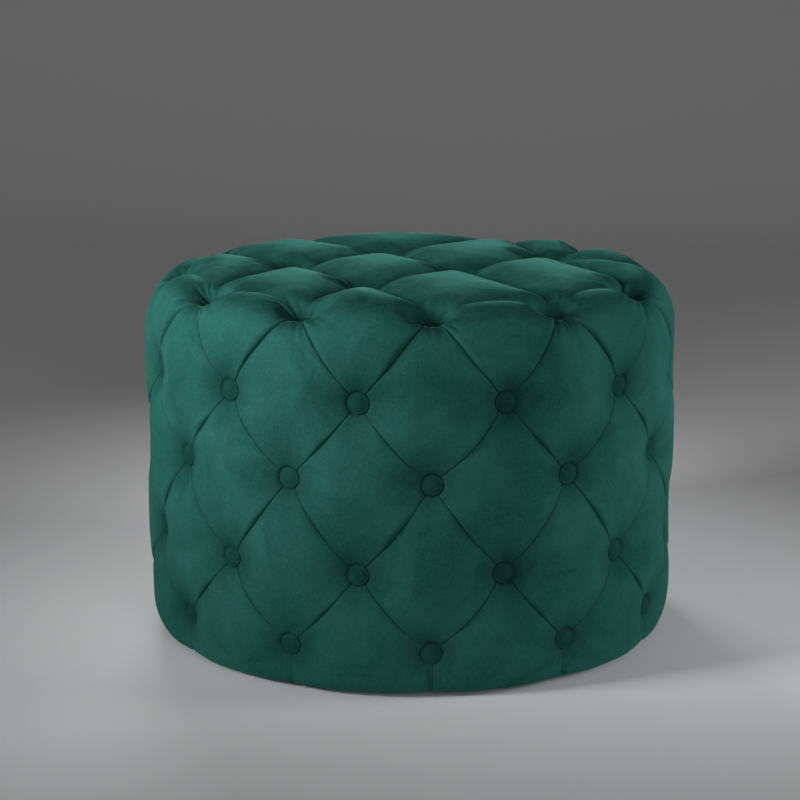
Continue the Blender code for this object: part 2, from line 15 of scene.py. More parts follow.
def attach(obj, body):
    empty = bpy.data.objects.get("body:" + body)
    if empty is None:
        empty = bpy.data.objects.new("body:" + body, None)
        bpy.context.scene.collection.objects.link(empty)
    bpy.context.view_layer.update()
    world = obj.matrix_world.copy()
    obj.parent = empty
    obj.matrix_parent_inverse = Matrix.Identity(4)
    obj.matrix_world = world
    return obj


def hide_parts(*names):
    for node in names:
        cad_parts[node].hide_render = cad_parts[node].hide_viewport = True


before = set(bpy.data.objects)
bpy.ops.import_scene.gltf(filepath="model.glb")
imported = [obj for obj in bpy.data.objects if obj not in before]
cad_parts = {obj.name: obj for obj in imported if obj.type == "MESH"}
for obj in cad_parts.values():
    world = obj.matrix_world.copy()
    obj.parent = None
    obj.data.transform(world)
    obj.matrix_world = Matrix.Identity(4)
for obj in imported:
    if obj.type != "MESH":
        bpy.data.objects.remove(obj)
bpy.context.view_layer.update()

# Buttoning pattern, as in the solids
COLUMNS = 12
FRONT_ANGLE = math.radians(4.5)
HALF_COLUMN = math.pi / COLUMNS
ROW_HEIGHTS = (0.045, 0.121, 0.210, 0.287)
SIDE_TUFT_RADIUS = 0.262
RIM_TUFT = (0.233, 0.346)  # radius and height
RIM_LEAN = math.radians(27.0)
TOP_TUFT_HEIGHT = 0.356
TOP_FIRST = np.array([-0.045, -0.112])
TOP_STEP = (0.132, math.radians(46))  # length and angle from the back
TOP_CROSS = (0.138, math.radians(-34))
TOP_GRID = ((0, 0), (1, 0), (2, 0), (0, 1), (1, 1))
OPEN_GAPS = {11: 0, 2: 2, 3: 2, 4: 2}  # rim gaps where a side cushion runs on to a top button
TOP_CELLS = (  # cushions of the top: its own buttons, then rim columns
    ((0, 1, 4, 3), ()), ((1, 0), (0, 1)), ((2, 1), (1, 2)), ((4, 1, 2), (5,)), ((4,), (5, 6, 7)),
    ((3, 4), (7, 8)), ((3,), (8, 9, 10)), ((0, 3), (10, 11)),
)

# Stations of the pattern, from the hem to the top
HEM, ROW_1, ROW_2, ROW_3, ROW_4, RIM, TOP = range(7)

# Outside of the drum before buttoning
DRUM_RADIUS = 0.2758
DRUM_TOP = 0.3845
HEM_HEIGHT = 0.0045
HEM_RADIUS = 0.2655
HEM_ROUND = 0.050  # height over which the side draws in to the hem
HEM_ROUND_POWER = 2.2
SHOULDER_HEIGHT = 0.078  # rounding of the top edge, upwards and inwards
SHOULDER_WIDTH = 0.066
SHOULDER_POWER = 2.3
PROFILE_STEPS = 60

# Inside of the cover, the foam and the boards
HEM_INNER = 0.213
HEM_TOP = 0.0063
COVER_INNER = 0.2570  # a little inside the solid's, clear of the folds under the buttons
COVER_CEILING = 0.3515
COVER_EDGE_ROUND = 0.042
WALL_RADIUS = 0.243
BOARD_LEVEL = 0.312
BOARD_BOTTOM = 0.297
BASE_BOTTOM = 0.0066
GAP = 0.0003

# Tufting
PIT_REACH = {ROW_1: 0.058, ROW_2: 0.058, ROW_3: 0.058, ROW_4: 0.058, RIM: 0.062, TOP: 0.060}
RIM_PIT_FRONT = 0.026  # a rim pit is steep on its outer side, which hides its button
PIT_FLOOR = 0.004  # flat middle of a pit, under its button
SIDE_PIT_POWER = 1.7
TOP_PIT_POWER = 2.1
SIDE_PIT = 0.0125  # wide dimple round a side button
HOLE_DEPTH = 0.0040  # and the steep-walled hollow that the button sits in
HOLE_INNER = 0.0085
HOLE_OUTER = 0.0130
SIDE_BUTTON_SINK = 0.0028
SIDE_CREASE = 0.0030
SHOULDER_CREASE = 0.0034
RIM_CREASE = 0.0080
TOP_CREASE = 0.0110
HEM_CREASE = 0.0024
REACH_OVER = 0.006  # the cushion over a crease is full up to its fold
REACH_UNDER = 0.032
SIDE_TURN = 1.6  # how quickly the one turns into the other round a crease's end
TOP_REACH = 0.054
CREASE_POWER = 2.2
FOLD_DEPTH = 0.0013  # the fine fold line at the bottom of a crease
FOLD_WIDTH = 0.0010
TOP_FOLD = 0.45  # share of it on the top, where the creases are soft
HEM_FOLD_APART = 0.0017  # under the lowest buttons two folds run side by side
HEM_FOLD_WIDTH = 0.0014
TOP_PLEATS = (17, 0.0044, 0.0019)  # pleats round a button: how many, deepest, half of the widest
SIDE_PLEATS = (5, 0.0006, 0.0014)
PLEAT_STRAY = 0.4  # out of place, as a share of a step
PLEAT_DEPTHS = (0.3, 1.0)  # shares of the deepest, of the widest and of the pit's reach
PLEAT_WIDTHS = (0.65, 1.0)
PLEAT_LENGTHS = (0.5, 1.0)
PLEAT_POWER = 1.2  # how a pleat runs out
HEM_PLEAT_TURN = 0.5  # two pleats run down and aside from each of the lowest buttons
HEM_PLEAT_STRAY = 0.1
HEM_PLEAT_DEPTHS = (0.0008, 0.0016)
HEM_PLEAT_WIDTH = 0.0016
HEM_PLEAT_LENGTH = 0.036
CREASE_SAG = 0.004  # side creases hang a little between their buttons
RIM_CREASE_BOW = 0.024  # creases from rim button to rim button bend inwards
CREASE_BLEND = 2  # how sharply neighbouring creases meet
BLEND_POWER = 4  # and creases and pits
UNEVENNESS = 0.0006
WAVE_COUNT = 14
WAVE_SPREAD = 55
HEM_WAVE = 0.0012
HEM_WAVE_HEIGHT = 0.030
HEM_WAVE_SCALE = 1.7  # times as many waves as in the padding

# Faces of the cover
CELL_STEPS = 48
CELL_GATHER = 1.5  # above 1 the faces are finer towards the creases
CURVE_SAMPLES = 28
WELD_DISTANCE = 2e-5

# Cloth simulation that fills the cushions
SWELL_STEPS = 16  # coarse faces along a cushion's side
SWELL_FRAMES = 16
SWELL_CAP = 0.003
CREASE_HOLD = 0.8  # how firmly the creases are held
SWELL_CLOTH = {
    "quality": 6, "mass": 0.15, "air_damping": 3.0, "tension_stiffness": 30, "compression_stiffness": 30,
    "shear_stiffness": 12, "bending_stiffness": 8, "use_pressure": True, "uniform_pressure_force": 5.0,
    "shrink_min": -0.002, "vertex_group_mass": "held",
}

# Buttons
BUTTON_OUTLINE = (  # radius and height over the button's seat
    (0.0, 0.0078), (0.0030, 0.0077), (0.0056, 0.0073), (0.0072, 0.0068), (0.0081, 0.0064),
    (0.0088, 0.0064), (0.0096, 0.0064), (0.0103, 0.0060), (0.0108, 0.0052), (0.0110, 0.0043),
    (0.0107, 0.0032), (0.0097, 0.0023), (0.0075, 0.0015), (0.0045, 0.0010), (0.00125, 0.0008),
)
BUTTON_RADIUS = 0.011
BUTTON_SIDES = 32
TOP_BUTTON_LIFT = 0.0015
BUTTON_GATHERS = 11
GATHER_DEPTH = 0.00022
GATHER_POWER = 3  # the gathers fade towards the middle
TWINE_RADIUS = 0.00125
TWINE_SIDES = 8
TIE_STEPS = 96
TIE_RADIUS = 0.002
SIDE_TIE_RADIUS = 0.227
TIE_HEIGHT = 0.293
RIM_TIE_RADIUS = 0.206
WASHER_RADIUS = 0.012
WASHER_THICKNESS = 0.002
WASHER_SIDES = 24

# Foam, pressed in round the buttons
FOAM_SIDES = 144
FOAM_STEPS = 26
FOAM_EDGE_STEPS = (3, 1, 4, 2)  # side foam: bottom, chamfer, narrowed edge, top
TOP_FOAM_EDGE_STEPS = 6
FOAM_CHAMFER = 0.002
FOAM_LEVEL = 0.3117
PRESS_DEPTH = 0.005
PRESS_REACH = 0.034
PRESS_UNDER = 0.012  # foam this far under a button's seat moves with it

# Dust cover and staples under the drum
DUST_RADIUS = 0.2127
DUST_LEVEL = 0.0058
DUST_THICKNESS = 0.0004
DUST_RINGS = 24
DUST_SIDES = 144
DUST_PUCKER = 0.0002
PUCKER_POWER = 6  # the puckers stay near the edge
STAPLE_COUNT = 48
STAPLE_CIRCLE = 0.2185
STAPLE_LENGTH = 0.010
STAPLE_WIRE = 0.0007
STAPLE_WIDTH = 1.6 * STAPLE_WIRE
STAPLE_ROUND = 0.25 * STAPLE_WIRE
STAPLE_STRAY = 0.15  # out of place, as a share of a step
STAPLE_SHIFT = 0.001  # off the circle
STAPLE_TURN = 0.12  # out of line

# Painted shade: the velvet's colour is darkened round its buttons and along its creases
SHADE_ATTRIBUTE = "crushed_pile"
SHADE_LEVEL = 0.42
SHADE_REACH = 0.042
SHADE_POWER = 1.5
CREASE_SHADE = 0.28
CREASE_SHADE_REACH = 0.008

# Velvet's colours from dark to pale nap, and their places on the noise that mixes them
VELVET_NAP = ((0.009, 0.056, 0.046), (0.014, 0.075, 0.062), (0.020, 0.097, 0.081))
SIDE_NAP = {"places": (0.35, 0.50, 0.66), "scale": 14, "swirl": 0.7}
TOP_NAP = {"places": (0.42, 0.50, 0.58), "scale": 24, "swirl": 1.4}
PILE_SHARE = 0.38  # share of the single tufts of pile in that noise
FACES_UP = (0.52, 0.97)  # rise of the normal over which the side's colour turns into the top's painted-darker one
COVER_TOP_SHADE = 0.52  # painted shade: upward-facing velvet darkened to this share of the side's colour
BUTTON_SHADE = 0.55  # painted shade: the buttons' velvet darkened to this share of the cover's colour
# painted shade on the buttons' upward-facing velvet, as a further share
BUTTON_TOP_SHADE = 0.9
SHEEN = 0.22
SHEEN_ROUGHNESS = 0.36
SHEEN_TINT = (0.14, 0.50, 0.42)

# Colour sockets of a mix node, whose names aren't unique
MIX_FIRST, MIX_SECOND, MIX_RESULT = 6, 7, 2

# Camera of the photograph
FRAME_PIXELS = 800
SENSOR_WIDTH = 36.0
CAMERA_FOCAL_PIXELS = 2036
CAMERA_PLACE = (0.0, -2.100, 0.697)
CAMERA_PITCH = math.radians(12.46)
CAMERA_YAW = math.radians(-0.30)
CAMERA_ROLL = math.radians(0.21)

# Stage
FLOOR_REACH = 4.0  # to the front and to both sides
SWEEP_START = 2.6  # where the floor starts to turn up into the backdrop
SWEEP_RADIUS = 0.8
SWEEP_STEPS = 12
BACKDROP_TOP = 3.5
FLOOR_PAINT = (0.60, 0.60, 0.61)
SURROUND = 0.17
LAMPS = (  # name, place, target, size, watts, spread in degrees
    ("window", (-1.30, -0.66, 0.80), (0, 0, 0.43), 0.45, 3.8, 52),
    ("right_lamp", (1.30, -0.15, 0.50), (0, 0, 0.30), 0.45, 1.9, 75),
    ("fill", (0.9, -2.5, 0.9), (0, 0, 0.25), 1.2, 8.5, 120),
    ("back_lamp", (-0.4, 1.5, 0.85), (0, 0.1, 0.18), 0.6, 1.6, 60),
)

rng = np.random.default_rng(7)
WAVE_DIRECTIONS = rng.normal(0, WAVE_SPREAD, (WAVE_COUNT, 3))
WAVE_PHASES = rng.uniform(0, 2 * math.pi, WAVE_COUNT)


def make_profile():
    """Outline of the drum from the centre of the top to the hem: points, normals, lengths."""
    flat = DRUM_RADIUS - SHOULDER_WIDTH
    top_edge = DRUM_TOP - SHOULDER_HEIGHT
    points = [(radius, DRUM_TOP) for radius in np.linspace(0, flat, PROFILE_STEPS)]
    for turn in np.linspace(0, math.pi / 2, PROFILE_STEPS)[1:]:
        across = math.sin(turn) ** (2 / SHOULDER_POWER)
        up = math.cos(turn) ** (2 / SHOULDER_POWER)
        points.append((flat + SHOULDER_WIDTH * across, top_edge + SHOULDER_HEIGHT * up))
    points += [(DRUM_RADIUS, height) for height in np.linspace(top_edge, HEM_ROUND, PROFILE_STEPS)[1:]]
    for height in np.linspace(HEM_ROUND, HEM_HEIGHT, PROFILE_STEPS // 2)[1:]:
        share = (HEM_ROUND - height) / (HEM_ROUND - HEM_HEIGHT)
        points.append((DRUM_RADIUS - (DRUM_RADIUS - HEM_RADIUS) * share ** HEM_ROUND_POWER, height))
    points = np.array(points)
    lengths = np.concatenate([[0], np.cumsum(np.linalg.norm(np.diff(points, axis=0), axis=1))])
    slope = np.gradient(points, lengths, axis=0)
    normals = np.stack([-slope[:, 1], slope[:, 0]], 1)
    normals /= np.linalg.norm(normals, axis=1)[:, None]
    return points, normals, lengths


PROFILE, PROFILE_NORMALS, PROFILE_LENGTHS = make_profile()


def on_profile(length, values):
    """Profile values at lengths measured from the centre of the top."""
    return np.stack([np.interp(length, PROFILE_LENGTHS, values[:, axis]) for axis in (0, 1)], -1)


def drum_point(plane):
    """Points and normals on the drum from its unrolled plane, where the outline's length is the radius."""
    length = np.hypot(plane[..., 0], plane[..., 1])
    angle = np.arctan2(plane[..., 0], -plane[..., 1])
    flat = on_profile(length, PROFILE)
    normal = on_profile(length, PROFILE_NORMALS)
    around = np.stack([np.sin(angle), -np.cos(angle)], -1)
    points = np.concatenate([around * flat[..., :1], flat[..., 1:]], -1)
    normals = np.concatenate([around * normal[..., :1], normal[..., 1:]], -1)
    return points, normals / np.linalg.norm(normals, axis=-1)[..., None]


def station_length(station):
    """Length along the outline of a ring of buttons."""
    if station == HEM:
        return PROFILE_LENGTHS[-1]
    if station <= ROW_4:
        return np.interp(-ROW_HEIGHTS[station - 1], -PROFILE[:, 1], PROFILE_LENGTHS)
    away = PROFILE - np.array(RIM_TUFT)
    lean = np.arctan2(away[:, 0], away[:, 1])
    return PROFILE_LENGTHS[np.argmin(abs(lean - RIM_LEAN))]


STATION_LENGTHS = [station_length(station) for station in range(RIM + 1)]


def tuft_angle(half_columns):
    """The angle of a side or rim button counted in half columns."""
    return FRONT_ANGLE + half_columns * HALF_COLUMN


def tuft_plane(column, station):
    """A button in the unrolled plane. Buttons of the top count along their grid."""
    if station == TOP:
        along, across = TOP_GRID[column]
        ways = TOP_STEP, TOP_CROSS
        steps = [length * np.array([math.sin(angle), math.cos(angle)]) for length, angle in ways]
        return TOP_FIRST + along * steps[0] + across * steps[1]
    angle = tuft_angle(column)
    length = STATION_LENGTHS[station]
    return np.array([length * math.sin(angle), -length * math.cos(angle)])


def tuft_key(column, station):
    """One name for each button, whichever cell asks."""
    return (column if station == TOP else column % (2 * COLUMNS), station)


def crease_plane(first, last, shares):
    """The line of a crease in the unrolled plane, from one button to another."""
    if TOP in (first[1], last[1]):
        start, end = tuft_plane(*first), tuft_plane(*last)
        return start + (end - start) * shares[:, None]
    angles = tuft_angle(first[0]) + (tuft_angle(last[0]) - tuft_angle(first[0])) * shares
    start, end = STATION_LENGTHS[first[1]], STATION_LENGTHS[last[1]]
    lengths = start + (end - start) * shares
    if first[1] == last[1] == RIM:
        lengths = lengths - RIM_CREASE_BOW * np.sin(math.pi * shares)
    elif HEM not in (first[1], last[1]) and first[1] != last[1]:
        lengths = lengths + CREASE_SAG * np.sin(math.pi * shares)
    return np.stack([lengths * np.sin(angles), -lengths * np.cos(angles)], -1)


def crease_depth(first, last):
    """How far a crease lies under the drum's outside at mid length."""
    low, high = sorted((first[1], last[1]))
    if low == HEM:
        return HEM_CREASE if high == ROW_1 else 0.0
    if high <= ROW_4:
        return SIDE_CREASE
    if low == ROW_4:
        return SHOULDER_CREASE
    return RIM_CREASE if low == RIM and high == RIM else TOP_CREASE


def pit_depth(station):
    """How far a button draws the cover in."""
    if station <= ROW_4:
        return SIDE_PIT
    if station == RIM:
        on_drum = on_profile(STATION_LENGTHS[RIM], PROFILE)
        return float(np.hypot(*(on_drum - np.array(RIM_TUFT))))
    return DRUM_TOP - TOP_TUFT_HEIGHT


def list_cells():
    """The cushions of the cover, each as four corners; a triangle names its tip twice."""
    cells = []
    for even in range(0, 2 * COLUMNS, 2):
        odd = even + 1
        cells.append([(odd - 1, HEM), (odd + 1, HEM), (odd + 1, ROW_1), (odd - 1, ROW_1)])
        cells.append([(odd, ROW_2), (odd, ROW_2), (odd - 1, ROW_1), (odd + 1, ROW_1)])
        for row, column in ((ROW_2, even), (ROW_3, odd), (ROW_4, even)):
            cells.append([(column, row - 1), (column + 1, row), (column, row + 1), (column - 1, row)])
    for column in range(COLUMNS):
        gap = 2 * column + 1
        if column in OPEN_GAPS:
            cells.append([(gap, ROW_4), (gap + 1, RIM), (OPEN_GAPS[column], TOP), (gap - 1, RIM)])
        else:
            cells.append([(gap, ROW_4), (gap, ROW_4), (gap + 1, RIM), (gap - 1, RIM)])
    for buttons, columns in TOP_CELLS:
        cells.append([(button, TOP) for button in buttons] + [(2 * column, RIM) for column in columns])
    return cells


def gathered(steps):
    """Shares from 0 to 1 that lie closer together towards both ends."""
    even = np.linspace(-1, 1, steps + 1)
    near = 1 - (1 - abs(even)) ** CELL_GATHER
    return 0.5 + 0.5 * np.sign(even) * near


def cell_plane(corners, shares):
    """A cushion's grid of points in the unrolled plane, between the lines of its creases."""
    low = crease_plane(corners[0], corners[1], shares)
    right = crease_plane(corners[1], corners[2], shares)
    high = crease_plane(corners[3], corners[2], shares)
    left = crease_plane(corners[0], corners[3], shares)
    across = shares[None, :, None]
    up = shares[:, None, None]
    ruled = low[None] * (1 - up) + high[None] * up
    ruled = ruled + left[:, None] * (1 - across) + right[:, None] * across
    low_line = low[0] * (1 - across) + low[-1] * across
    high_line = high[0] * (1 - across) + high[-1] * across
    return ruled - low_line * (1 - up) - high_line * up


class Tuft:
    """One button's pit in the cover, with the small pleats that run into it."""

    def __init__(self, column, station):
        plane = tuft_plane(column, station)
        point, normal = drum_point(plane[None])
        self.point, self.normal = point[0], normal[0]
        angle = math.atan2(plane[0], -plane[1])
        self.around = np.array([math.cos(angle), math.sin(angle), 0.0])
        self.up = np.cross(self.normal, self.around)
        self.depth = pit_depth(station)
        self.reach = PIT_REACH[station]
        self.power = SIDE_PIT_POWER if station <= ROW_4 else TOP_PIT_POWER
        self.front_reach = RIM_PIT_FRONT if station == RIM else self.reach
        self.hole = HOLE_DEPTH if station <= ROW_4 else 0.0
        self.pleats = self.choose_pleats(station)

    def choose_pleats(self, station):
        """Pleats as direction from straight up, depth, half width and length."""
        pleats = []
        count, deepest, widest = TOP_PLEATS if station >= RIM else SIDE_PLEATS
        for step in range(count):
            direction = 2 * math.pi * (step + rng.uniform(-PLEAT_STRAY, PLEAT_STRAY)) / count
            depth = rng.uniform(*PLEAT_DEPTHS) * deepest
            width = rng.uniform(*PLEAT_WIDTHS) * widest
            pleats.append((direction, depth, width, rng.uniform(*PLEAT_LENGTHS) * self.reach))
        if station == ROW_1:
            for offset in (-HEM_PLEAT_TURN, HEM_PLEAT_TURN):
                direction = math.pi + offset + rng.uniform(-HEM_PLEAT_STRAY, HEM_PLEAT_STRAY)
                depth = rng.uniform(*HEM_PLEAT_DEPTHS)
                pleats.append((direction, depth, HEM_PLEAT_WIDTH, HEM_PLEAT_LENGTH))
        return pleats

    def pit(self, points):
        """Depth of the pit at points."""
        offset = points - self.point
        away = np.linalg.norm(offset, axis=-1)
        inwards = (1 + offset @ self.up / np.maximum(away, 1e-6)) / 2
        reach = self.front_reach + (self.reach - self.front_reach) * inwards
        share = np.clip((away - PIT_FLOOR) / (reach - PIT_FLOOR), 0, 1)
        inside = np.clip((HOLE_OUTER - away) / (HOLE_OUTER - HOLE_INNER), 0, 1)
        return self.depth * (1 - share) ** self.power + self.hole * inside ** 2 * (3 - 2 * inside)

    def crushed(self, points):
        """Painted shade at points, from 1 at the button down to 0 at its reach: the velvet's colour is
        drawn darker there.
        """
        away = np.linalg.norm(points - self.point, axis=-1)
        return np.clip(1 - away / SHADE_REACH, 0, 1) ** SHADE_POWER

    def pleat_depth(self, points):
        """Depth of the pleats at points."""
        offset = points - self.point
        sideways, upwards = offset @ self.around, offset @ self.up
        total = np.zeros(len(points))
        for direction, depth, width, length in self.pleats:
            along = sideways * math.sin(direction) + upwards * math.cos(direction)
            aside = sideways * math.cos(direction) - upwards * math.sin(direction)
            share = np.clip(along / length, 0, 1)
            rise = np.clip((along - PIT_FLOOR) / PIT_FLOOR / 2, 0, 1) * (1 - share) ** PLEAT_POWER
            spread = width * (1 + share)
            total += depth * rise * np.exp(-(aside / spread) ** 2)
        return total


class Crease:
    """A fold of the cover between two buttons."""

    def __init__(self, first, last):
        shares = np.linspace(0, 1, CURVE_SAMPLES)
        plane = crease_plane(first, last, shares)
        self.line = drum_point(plane)[0]
        self.lengths = np.hypot(plane[:, 0], plane[:, 1])
        self.depth = crease_depth(first, last)
        round_rim = first[1] == last[1] == RIM
        self.on_top = round_rim or max(first[1], last[1]) == TOP
        self.fold = 0.0 if round_rim else TOP_FOLD if self.on_top else 1.0
        at_hem = HEM in (first[1], last[1])
        self.fold_apart = HEM_FOLD_APART if at_hem else 0.0
        self.fold_width = HEM_FOLD_WIDTH if at_hem else FOLD_WIDTH

    def measure(self, points, lengths):
        """Distance of points from the crease, and whether they lie over it (1) or under it (-1)."""
        best = np.full(len(points), np.inf)
        over = np.zeros(len(points))
        steps = np.diff(self.line, axis=0)
        for count, way in enumerate(steps):
            offset = points - self.line[count]
            share = np.clip(offset @ way / (way @ way), 0, 1)
            away = offset - share[:, None] * way
            squared = np.einsum("ij,ij->i", away, away)
            nearer = squared < best
            here = self.lengths[count] + share * (self.lengths[count + 1] - self.lengths[count])
            best = np.where(nearer, squared, best)
            over = np.where(nearer, here - lengths, over)
        away = np.sqrt(best)
        return away, np.clip(over / np.maximum(away, 1e-5), -1, 1)

    def draw(self, points, lengths):
        """How far the crease draws points in, its fine fold line and the painted shade along it."""
        away, over = self.measure(points, lengths)
        reach = REACH_UNDER + (REACH_OVER - REACH_UNDER) * (1 + np.clip(SIDE_TURN * over, -1, 1)) / 2
        if self.on_top:
            reach = TOP_REACH
        drop = self.depth * np.clip(1 - away / reach, 0, 1) ** CREASE_POWER
        # painted shade along the crease, which darkens the velvet's colour
        crushed = CREASE_SHADE * np.clip(1 - away / CREASE_SHADE_REACH, 0, 1) ** SHADE_POWER
        return drop, self.fold * np.clip(1 - abs(away - self.fold_apart) / self.fold_width, 0, 1), crushed


class Pattern:
    """The creases and buttons of the whole cover, on the drum's outside."""

    def __init__(self, cells):
        self.creases = {}
        self.tufts = {}
        for corners in cells:
            for first, last in zip(corners, corners[1:] + corners[:1]):
                if first == last or crease_depth(first, last) == 0.0 or first[1] == last[1] == ROW_1:
                    continue
                key = tuple(sorted((tuft_key(*first), tuft_key(*last))))
                if key not in self.creases:
                    self.creases[key] = Crease(first, last)
            for corner in corners:
                if corner[1] != HEM and tuft_key(*corner) not in self.tufts:
                    self.tufts[tuft_key(*corner)] = Tuft(*corner)

    def near(self, corners):
        """The creases and buttons that can reach a cushion."""
        keys = {tuft_key(*corner) for corner in corners}
        creases = [crease for ends, crease in self.creases.items() if keys & set(ends)]
        reached = {end for ends in self.creases if keys & set(ends) for end in ends}
        return creases, [self.tufts[key] for key in sorted(reached) if key in self.tufts]


def slow_waves(points):
    """Slight unevenness of hand-stuffed padding, between -1 and 1."""
    return np.sin(points @ WAVE_DIRECTIONS.T + WAVE_PHASES).mean(axis=1)


def drawn_in(plane, creases, tufts, fine=True):
    """Points of the drum drawn in by creases and buttons, and the painted shade there."""
    points, normals = drum_point(plane)
    lengths = np.hypot(plane[:, 0], plane[:, 1])
    total, fold, crushed, pleats = np.zeros((4, len(points)))
    for crease in creases:
        drop, line, near = crease.draw(points, lengths)
        total += drop ** CREASE_BLEND
        fold = np.maximum(fold, line)
        crushed = np.maximum(crushed, near)
    total = total ** (BLEND_POWER / CREASE_BLEND)
    for tuft in tufts:
        total += tuft.pit(points) ** BLEND_POWER
        crushed = np.maximum(crushed, tuft.crushed(points))
        pleats += tuft.pleat_depth(points)
    drop = total ** (1 / BLEND_POWER)
    if fine:
        drop += FOLD_DEPTH * fold + pleats + UNEVENNESS * slow_waves(points)
    moved = points - normals * drop[:, None]
    near_hem = np.clip(1 - points[:, 2] / HEM_WAVE_HEIGHT, 0, 1)
    moved[:, 2] += HEM_WAVE * near_hem * (1 + slow_waves(points * HEM_WAVE_SCALE))
    return moved, crushed


def mesh_of_cells(name, points):
    """A mesh of square grids of points, one after the other."""
    side = math.isqrt(len(points[0]))
    corner = np.arange(side ** 2).reshape(side, side)
    quads = np.stack([corner[:-1, :-1], corner[:-1, 1:], corner[1:, 1:], corner[1:, :-1]], -1)
    faces = np.concatenate([quads.reshape(-1, 4) + count * side ** 2 for count in range(len(points))])
    mesh = bpy.data.meshes.new(name)
    mesh.from_pydata(np.concatenate(points).tolist(), [], faces.tolist())
    return mesh


def welded(mesh):
    """Welds the cells of a mesh along their creases; gives each point's place in the welded mesh."""
    whole = bmesh.new()
    whole.from_mesh(mesh)
    old = whole.verts.layers.int.new("old")
    for vertex in whole.verts:
        vertex[old] = vertex.index
    doubles = bmesh.ops.find_doubles(whole, verts=whole.verts, dist=WELD_DISTANCE)["targetmap"]
    target = np.arange(len(whole.verts))
    for vertex, kept in doubles.items():
        target[vertex.index] = kept.index
    bmesh.ops.weld_verts(whole, targetmap=doubles)
    whole.verts.index_update()
    place = np.zeros(len(target), int)
    for vertex in whole.verts:
        place[vertex[old]] = vertex.index
    whole.to_mesh(mesh)
    whole.free()
    return place[target]


def held_points(cells, pattern):
    """How firmly each coarse point is held: fully at buttons and the hem, and along the creases."""
    side = SWELL_STEPS + 1
    held = np.zeros((len(cells), side, side))
    along = slice(None)
    borders = ((0, 1, (0, along)), (1, 2, (along, -1)), (3, 2, (-1, along)), (0, 3, (along, 0)))
    for count, corners in enumerate(cells):
        for first, last, border in borders:
            ends = tuple(sorted((tuft_key(*corners[first]), tuft_key(*corners[last]))))
            if ends in pattern.creases:
                held[count][border] = np.maximum(held[count][border], CREASE_HOLD)
            elif corners[first][1] == corners[last][1] == HEM:
                held[count][border] = 1
        held[count][[0, 0, -1, -1], [0, -1, 0, -1]] = 1
    return held.reshape(-1)


def swell(cells, pattern):
    """How far the cushions swell, for each coarse point of each cell, from a cloth simulation."""
    shares = np.linspace(0, 1, SWELL_STEPS + 1)
    points = [drawn_in(cell_plane(corners, shares).reshape(-1, 2), *pattern.near(corners), fine=False)[0]
              for corners in cells]
    mesh = mesh_of_cells("swelling", points)
    place = welded(mesh)
    cloth_piece = add_piece("swelling", mesh)
    firmness = np.zeros(len(mesh.vertices))
    np.maximum.at(firmness, place, held_points(cells, pattern))
    group = cloth_piece.vertex_groups.new(name="held")
    for index, weight in enumerate(firmness.tolist()):
        if weight > 0:
            group.add([index], weight, "REPLACE")
    modifier = cloth_piece.modifiers.new("swell", "CLOTH")
    cloth = modifier.settings
    for setting, value in SWELL_CLOTH.items():
        setattr(cloth, setting, value)
    cloth.effector_weights.gravity = 0
    modifier.collision_settings.use_collision = False
    modifier.point_cache.frame_start = 1
    modifier.point_cache.frame_end = SWELL_FRAMES
    for step in range(1, SWELL_FRAMES + 1):
        bpy.context.scene.frame_set(step)
    settled = cloth_piece.evaluated_get(bpy.context.evaluated_depsgraph_get()).data
    moved = np.array([vertex.co[:] for vertex in settled.vertices])
    start = np.array([vertex.co[:] for vertex in mesh.vertices])
    offset = moved - start
    size = np.linalg.norm(offset, axis=1)
    offset *= (SWELL_CAP * np.tanh(size / SWELL_CAP) / np.maximum(size, 1e-9))[:, None]
    bpy.data.objects.remove(cloth_piece)
    bpy.context.scene.frame_set(1)
    side = SWELL_STEPS + 1
    return offset[place].reshape(len(cells), side, side, 3)


def resampled(grid, shares, axis):
    """Values along one axis of a grid at shares of its length, on a smooth curve."""
    last = grid.shape[axis] - 1
    low = np.minimum((shares * last).astype(int), last - 1)
    part = shares * last - low
    shape = [1] * grid.ndim
    shape[axis] = len(shares)
    part = part.reshape(shape)
    before, first, second, after = (
        np.take(grid, np.clip(low + step, 0, last), axis) for step in (-1, 0, 1, 2))
    rise = second - before
    bend = 2 * before - 5 * first + 4 * second - after
    turn = 3 * first - before - 3 * second + after
    return first + part * (rise + part * (bend + part * turn)) / 2


def make_cover():
    """The tufted velvet cover, closed inside so that it is one body."""
    cells = list_cells()
    pattern = Pattern(cells)
    shares = gathered(CELL_STEPS)
    drawn = [drawn_in(cell_plane(corners, shares).reshape(-1, 2), *pattern.near(corners))
             for corners in cells]
    points = [moved for moved, crushed in drawn]
    for count, offset in enumerate(swell(cells, pattern)):
        fine = resampled(resampled(offset, shares, 0), shares, 1)
        points[count] = points[count] + fine.reshape(-1, 3)
    mesh = mesh_of_cells("velvet_cover", points)
    # painted shade round buttons and along creases, which darkens the velvet's colour
    pile = mesh.attributes.new(SHADE_ATTRIBUTE, "FLOAT", "POINT")
    pile.data.foreach_set("value", np.concatenate([crushed for moved, crushed in drawn]))
    skin = bmesh.new()
    skin.from_mesh(mesh)
    bmesh.ops.remove_doubles(skin, verts=skin.verts, dist=WELD_DISTANCE)
    close_inside(skin)
    bmesh.ops.recalc_face_normals(skin, faces=skin.faces)
    skin.to_mesh(mesh)
    skin.free()
    mesh.shade_smooth()
    return add_piece("velvet_cover", mesh)


